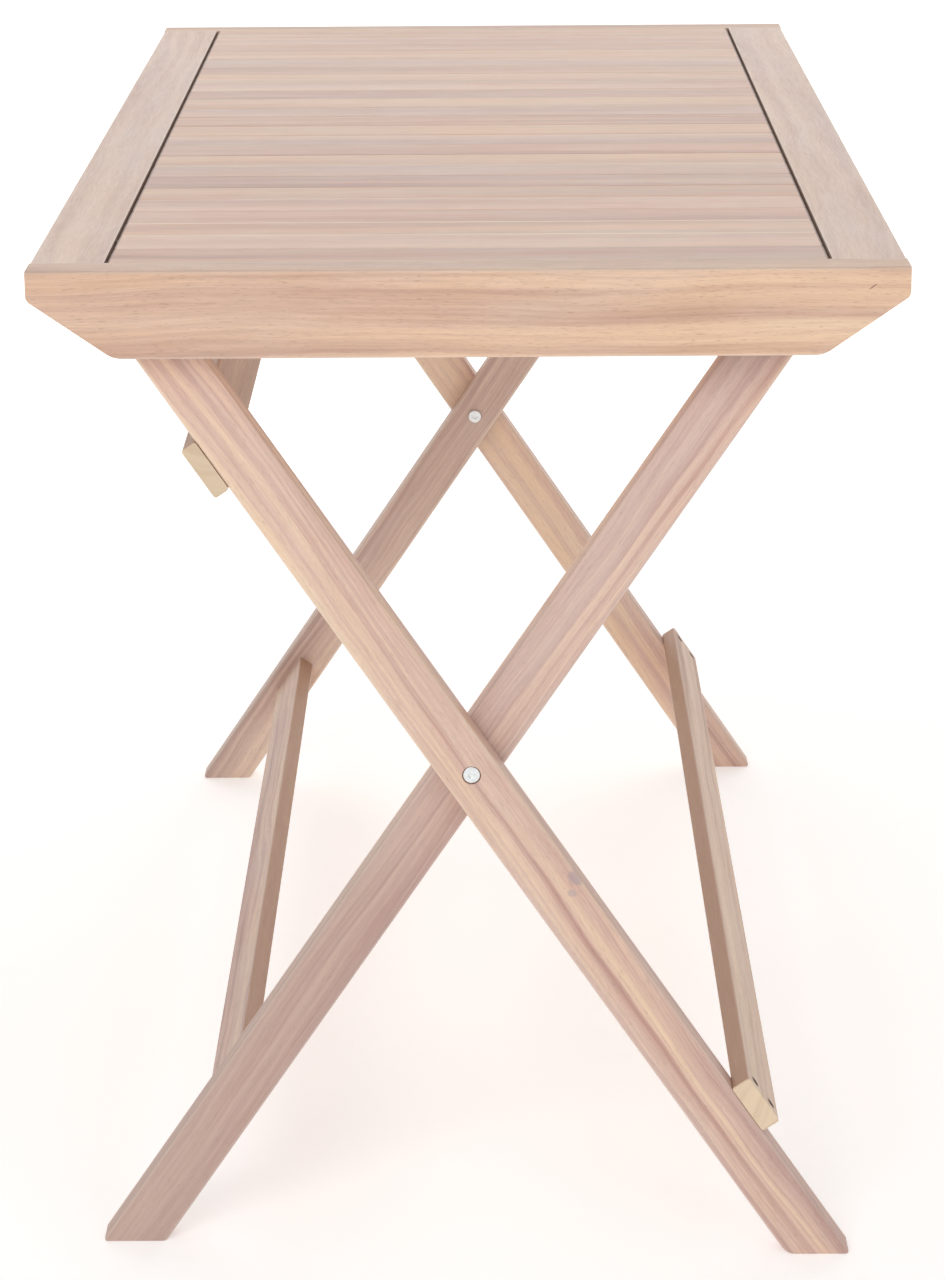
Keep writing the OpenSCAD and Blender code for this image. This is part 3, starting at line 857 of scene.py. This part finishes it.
@dataclass
class Fasteners:
    """Every fastener of one kind, made as one piece."""

    name: str
    node: str
    body: str
    slot: str
    material: bpy.types.Material
    tree: FastenerTree
    head_d: float                       # mm
    shank_d: float
    drive: Drive
    drive_width: float
    drive_depth: float
    head_t: float = 0.0                 # 0 for a countersunk head
    bore_d: float = 0.0
    bore_end: float = 0.0               # wall left between bore and head
    sides: int = 48
    seed: int = 4

    def profile(self, length: float) -> list[tuple[float, float]]:
        """Draws half the section, from the head's top to the far end.

        Args:
            length: Whole length in mm.

        Returns:
            Radius and height of each point, in mm.
        """
        head, shank = self.head_d / 2, self.shank_d / 2
        if not self.head_t:
            tip = 6.0
            return [(head, 0.0), (head, -0.15), (shank, -(head - shank)),
                    (shank, -length + tip), (0.4, -length)]
        soft = 0.45
        line = [(head - soft + soft * math.sin(a),
                 -soft + soft * math.cos(a))
                for a in (i * math.pi / 8 for i in range(5))]
        line += [(head, -self.head_t), (shank, -self.head_t)]
        if self.bore_d:
            inner = self.bore_d / 2
            return line + [(shank, -length), (inner, -length),
                           (inner, -self.head_t - self.bore_end)]
        return line + [(shank, -length + 0.6), (shank - 0.6, -length)]

    def build(self) -> bpy.types.Object:
        """Makes the piece, standing for its CAD node.

        Returns:
            The finished piece.
        """
        groups: dict[float, list[Stand]] = {}
        for corners in islands(self.node):
            stand = Stand.of(corners)
            groups.setdefault(round(stand.length / MM, 1), []).append(stand)
        whole = bmesh.new()
        for length, stands in sorted(groups.items()):
            blank = lathe("blank", self.profile(length), self.sides)
            marks = bpy.data.meshes.new("stands")
            marks.from_pydata([tuple(s.top) for s in stands], [], [])
            facing = marks.attributes.new("outward", "FLOAT_VECTOR", "POINT")
            for item, stand in zip(facing.data, stands):
                item.vector = stand.outward
            points = bpy.data.objects.new("stands", marks)
            bpy.context.scene.collection.objects.link(points)
            mesh = self.tree.run(points, {
                "Blank": blank, "Hexagon Drive": self.drive.value,
                "Drive Width": self.drive_width * MM,
                "Drive Depth": self.drive_depth * MM,
                "Turn Seed": self.seed, "Finish": self.material})
            whole.from_mesh(mesh)
            for scratch in (points, blank):
                bpy.data.objects.remove(scratch)
        mesh = bpy.data.meshes.new(self.name)
        whole.to_mesh(mesh)
        whole.free()
        mesh.materials.append(self.material)
        for face in mesh.polygons:
            face.use_smooth = True
            face.material_index = 0
        mesh.set_sharp_from_angle(angle=math.radians(32))
        piece = bpy.data.objects.new(self.name, mesh)
        bpy.context.scene.collection.objects.link(piece)
        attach(piece, self.body)
        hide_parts(self.node)
        return piece


@dataclass
class Sliver:
    """A splinter that the saw left across the joint beside the left rail."""

    material: bpy.types.Material
    y: float = -0.4886
    length: float = 4.6                 # mm
    width: float = 1.5
    depth: float = 0.9

    def build(self) -> bpy.types.Object:
        """Makes the splinter as a bent, tapering strip.

        Returns:
            The finished piece.
        """
        rail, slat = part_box("rail_left"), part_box("slat_01")
        middle = (rail[1].x + slat[0].x) / 2
        top = slat[1].z - 0.4 * MM
        shape = bmesh.new()
        rings = []
        for k in range(7):
            s = k / 6
            wide = self.width * (0.45 + 0.55 * math.sin(math.pi * s)) * MM / 2
            deep = self.depth * (0.5 + 0.5 * math.sin(math.pi * s)) * MM
            x = middle + (s - 0.5) * self.length * MM
            y = self.y + 0.5 * MM * math.sin(5 * s)
            z = top - 0.5 * MM * math.sin(math.pi * s)
            rings.append([shape.verts.new(c) for c in (
                (x, y - wide, z), (x, y + 0.3 * wide, z + 0.12 * MM),
                (x, y + wide, z - 0.1 * MM), (x, y, z - deep))])
        for a, b in zip(rings, rings[1:]):
            for k in range(4):
                n = (k + 1) % 4
                shape.faces.new((a[k], b[k], b[n], a[n]))
        shape.faces.new(rings[0])
        shape.faces.new(reversed(rings[-1]))
        bmesh.ops.recalc_face_normals(shape, faces=shape.faces)
        mesh = bpy.data.meshes.new("saw_sliver")
        shape.to_mesh(mesh)
        shape.free()
        mesh.materials.append(self.material)
        piece = bpy.data.objects.new("saw_sliver", mesh)
        bpy.context.scene.collection.objects.link(piece)
        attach(piece, "tabletop")
        return piece


# --- Sub-assemblies -----------------------------------------------------

@dataclass
class Tabletop:
    """End boards, rails, slats and everything fixed under them."""

    tree: FastenerTree
    screw_head_d: float = 7.0
    screw_d: float = 3.6
    bolt_head_d: float = 12.2
    bolt_head_t: float = 2.2
    bolt_d: float = 8.0
    nick: Mark = Mark((0.2742, -0.6, 0.7367), (3.6, 2.0, 0.5), -36.0,
                      "#6a5048", 0.75)

    def boards(self) -> list[Board]:
        """Lists the boards with their timber."""
        across, length = Grain.ACROSS, Grain.LENGTHWISE
        made = [
            Board("end_board_front", across, HONEY, 3, (20, -150),
                  marks=(self.nick,)),
            Board("end_board_rear", across, HONEY, 11, (25, -140)),
            Board("rail_left", length, CLOUD, 5, (120, -60), tone=0.35),
            Board("rail_right", length, CLOUD, 8, (-110, -70), tone=0.45),
            Board("batten_left", length, PLANED, 21),
            Board("batten_right", length, PLANED, 23, (-80, 20)),
            Board("ledger_front", across, PLANED, 25),
            Board("ledger_rear", across, PLANED, 26),
            Board("rail_dowels", length, PLANED, 27),
        ]
        for k, name in enumerate(("stop_front", "stop_rear",
                                  "stop_lip_front", "stop_lip_rear")):
            made.append(Board(name, length, PLANED, 30 + k, (60, 40)))
        return made

    def build(self) -> None:
        """Dresses the boards and makes the fasteners."""
        for board in self.boards():
            board.dress()
            LOG.info("dressed %s", board.node)
        slats = Slats((SLAT_STRAW, SLAT_ROSE, SLAT_PALE))
        slats.dress()
        LOG.info("dressed %d slats", slats.count)
        screw = ZINC_SCREW.build()
        hinge = Vector(frame["joints"][0]["pos_m"])
        give("hinge_inserts", BRASS.build())
        give("hinge_spacers", ZINC_SCREW.build())
        for name, node in (("top_screw_set", "top_screws"),
                           ("stop_screw_set", "stop_screws")):
            Fasteners(name, node, "tabletop", "screw_zinc", screw, self.tree,
                      self.screw_head_d, self.screw_d, Drive.CROSS,
                      *CROSS_DRIVE, sides=SCREW_SIDES).build()
            LOG.info("made %s", name)
        Fasteners("hinge_bolt_pair", "hinge_bolts", "tabletop", "bolt_zinc",
                  ZINC_BOLT.build(hinge), self.tree, self.bolt_head_d,
                  self.bolt_d, Drive.HEXAGON, *SOCKET_DRIVE,
                  head_t=self.bolt_head_t).build()
        LOG.info("made hinge_bolt_pair")
        Sliver(frame["nodes"]["slat_02"].material_slots[0].material).build()
        LOG.info("made saw_sliver")


@dataclass
class OuterFrame:
    """The outer pair of legs, its cross boards and the pivot bolts."""

    tree: FastenerTree
    screw_head_d: float = 7.0
    screw_d: float = 3.6
    head_d: float = 12.2
    head_t: float = 2.2
    bolt_d: float = 6.0
    sleeve_d: float = 9.0
    sleeve_bore_d: float = 6.1
    dark_ring_r: float = 5.2
    patches: tuple[Mark, ...] = (
        Mark((0.0745, -0.567, 0.2985), (7.0, 2.5, 5.0), 40.0, "#a3949a", 0.6),
        Mark((0.0720, -0.567, 0.2868), (4.0, 2.0, 3.0), 20.0, "#b0a0a4", 0.5))

    def build(self) -> None:
        """Dresses the frame and makes its fasteners."""
        leg, cross = Grain.OUTER_LEG, Grain.OUTER_CROSS
        # Painted shadow: a dark ring round each sunk screw stands for the shade in its hole.
        reach = (self.dark_ring_r,) * 3
        holes = tuple(
            Mark(tuple(float(c) for c in Stand.of(corners).top), reach,
                 0.0, HOLE_SHADE, 0.85)
            for corners in islands("outer_screws"))
        boards = [
            Board("outer_leg_front", leg, ROSE, 41, (110, 40), tone=0.45,
                  marks=self.patches),
            Board("outer_leg_rear", leg, ROSE, 44, (-120, 30), tone=0.4),
            # Painted shade on the narrow faces of the crossbar and the stretcher.
            Board("outer_crossbar", cross, PALE, 47, (60, 70), tone=0.4,
                  shade=0.74, narrow_shade=0.6, end_cut=EndCut.CREAM,
                  marks=holes),
            Board("outer_stretcher", cross, PALE, 49, (-90, 50), tone=0.1,
                  narrow_shade=0.9, end_cut=EndCut.CREAM, marks=holes),
        ]
        for board in boards:
            board.dress()
            LOG.info("dressed %s", board.node)
        pivot = Vector(frame["joints"][1]["pos_m"])
        bolt = ZINC_BOLT.build(pivot)
        give("pivot_washers", ZINC_SCREW.build())
        Fasteners("frame_screw_set", "outer_screws", "outer_legs",
                  "screw_zinc", ZINC_SCREW.build(), self.tree,
                  self.screw_head_d, self.screw_d, Drive.CROSS,
                  *CROSS_DRIVE, sides=SCREW_SIDES).build()
        LOG.info("made frame_screw_set")
        Fasteners("pivot_bolt_pair", "pivot_bolts", "outer_legs",
                  "bolt_zinc", bolt, self.tree, self.head_d, self.bolt_d,
                  Drive.HEXAGON, *SOCKET_DRIVE, head_t=self.head_t).build()
        LOG.info("made pivot_bolt_pair")
        Fasteners("pivot_sleeve_pair", "pivot_sleeves", "outer_legs",
                  "bolt_zinc", bolt, self.tree, self.head_d, self.sleeve_d,
                  Drive.HEXAGON, *SOCKET_DRIVE, head_t=self.head_t,
                  bore_d=self.sleeve_bore_d, bore_end=3.0).build()
        LOG.info("made pivot_sleeve_pair")


@dataclass
class InnerFrame:
    """The inner pair of legs, its stretcher and the round top bar.

    The front leg's lower end is greyer and duller than the rest of it.
    """

    butt: tuple[Mark, ...] = (
        Mark((-0.255, -0.54, 0.0), (460.0, 90.0, 130.0), -56.0, "#a98f86",
             0.45),)

    def build(self) -> None:
        """Dresses the frame."""
        leg = Grain.INNER_LEG
        boards = [
            Board("inner_leg_front", leg, ROSE, 52, (100, -30), tone=0.5,
                  marks=self.butt),
            Board("inner_leg_rear", leg, ASHEN, 55, (-105, 35), tone=0.5),
            # Painted shade on the stretcher's narrow faces.
            Board("inner_stretcher", Grain.INNER_CROSS, ROSE, 57, (80, 60),
                  tone=0.2, shade=0.9, narrow_shade=0.8),
            Board("top_bar", Grain.LENGTHWISE, PLANED, 59, (40, 30)),
        ]
        for board in boards:
            board.dress()
            LOG.info("dressed %s", board.node)


# --- Studio -------------------------------------------------------------

@dataclass(frozen=True)
class SoftBox:
    """A flat soft light."""

    name: str
    place: tuple[float, float, float]
    aim: tuple[float, float, float]
    wide: float
    high: float
    radiance: float
    colour: str = "#ffffff"

    def build(self) -> None:
        """Hangs the light."""
        lamp = bpy.data.lights.new(self.name, "AREA")
        lamp.shape, lamp.size, lamp.size_y = "RECTANGLE", self.wide, self.high
        lamp.energy = self.radiance * math.pi * self.wide * self.high
        lamp.color = linear(self.colour)[:3]
        light = bpy.data.objects.new(self.name, lamp)
        light.location = self.place
        aim = Vector(self.aim) - Vector(self.place)
        light.rotation_euler = aim.to_track_quat("-Z", "Y").to_euler()
        light.visible_camera = False
        bpy.context.scene.collection.objects.link(light)


@dataclass
class Studio:
    """Plain pale floor, soft light all round and the camera."""

    floor_half: float = 30.0
    sky: float = 0.50
    glow: float = 0.30                  # light through the floor
    eye: tuple[float, float, float] = (0.0135, -3.0988, 1.2563)
    pitch: float = 17.087               # degrees down
    yaw: float = 0.275
    roll: float = -0.39
    lens: float = 105.64
    sensor: float = 36.0
    lights: tuple[SoftBox, ...] = (
        SoftBox("key_softbox", (-1.1, -3.3, 2.1), (0, -0.4, 0.5),
                1.8, 1.6, 3.7),
        SoftBox("fill_softbox", (1.9, -3.2, 1.6), (0, -0.3, 0.5),
                1.6, 1.4, 1.3),
        SoftBox("back_softbox", (0, 5.0, 1.8), (0, 0, 0.9), 7.0, 2.2, 1.1),
        SoftBox("ground_softbox", (0, 5.6, 3.6), (0, 5.6, 0), 9.0, 6.0, 1.0))

    def floor(self) -> None:
        """Lays the floor."""
        h = self.floor_half
        mesh = bpy.data.meshes.new("studio_floor")
        z = -0.2 * MM
        mesh.from_pydata([(-h, -h, z), (h, -h, z), (h, h, z), (-h, h, z)],
                         [], [(0, 1, 2, 3)])
        material, g = new_material("opal_lightbox")
        position = g.add("ShaderNodeTexCoord", out="Object")
        tooth = g.add(NOISE, {"Vector": position, "Scale": 60.0,
                              "Detail": 4.0})
        colour = mixed(g, tooth, linear("#f7f6f5"), linear("#fbfaf9"))
        shader = g.add("ShaderNodeBsdfPrincipled",
                       {"Base Color": colour, "Roughness": 0.9,
                        "Specular IOR Level": 0.1,
                        "Emission Color": linear("#ffffff"),
                        "Emission Strength": self.glow})
        g.add("ShaderNodeOutputMaterial", {"Surface": shader})
        mesh.materials.append(material)
        floor = bpy.data.objects.new("studio_floor", mesh)
        bpy.context.scene.collection.objects.link(floor)

    def air(self) -> None:
        """Lights the studio evenly from all round."""
        world = bpy.data.worlds.new("studio_air")
        bpy.context.scene.world = world
        world.use_nodes = True
        g = Graph(world.node_tree)
        light = g.add("ShaderNodeBackground",
                      {"Color": linear("#ffffff"), "Strength": self.sky})
        g.add("ShaderNodeOutputWorld", {"Surface": light})

    def camera(self) -> None:
        """Sets the camera."""
        p, y, r = (math.radians(a) for a in (self.pitch, self.yaw, self.roll))
        ahead = Vector((-math.sin(y) * math.cos(p),
                        math.cos(y) * math.cos(p), -math.sin(p)))
        level = Vector((math.cos(y), math.sin(y), 0))
        above = level.cross(ahead)
        right = level * math.cos(r) + above * math.sin(r)
        up = -level * math.sin(r) + above * math.cos(r)
        lens = bpy.data.cameras.new("camera")
        lens.lens, lens.sensor_width = self.lens, self.sensor
        lens.clip_end = 100
        camera = bpy.data.objects.new("camera", lens)
        turn = Matrix((right, up, -ahead)).transposed()
        camera.matrix_world = Matrix.LocRotScale(Vector(self.eye), turn, None)
        bpy.context.scene.collection.objects.link(camera)
        bpy.context.scene.camera = camera

    def build(self) -> None:
        """Sets up everything that isn't the table."""
        self.floor()
        self.air()
        for light in self.lights:
            light.build()
        self.camera()
        bpy.context.scene.view_settings.view_transform = "Standard"


def main() -> None:
    """Builds the table round its CAD frame."""
    logging.basicConfig(level=logging.INFO, format="%(name)s: %(message)s")
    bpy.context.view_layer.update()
    Studio().build()
    LOG.info("set up the studio and the camera")
    tree = FastenerTree()
    for part in (Tabletop(tree), OuterFrame(tree), InnerFrame()):
        part.build()
        LOG.info("finished %s", type(part).__name__)


if __name__ == "__main__":
    main()
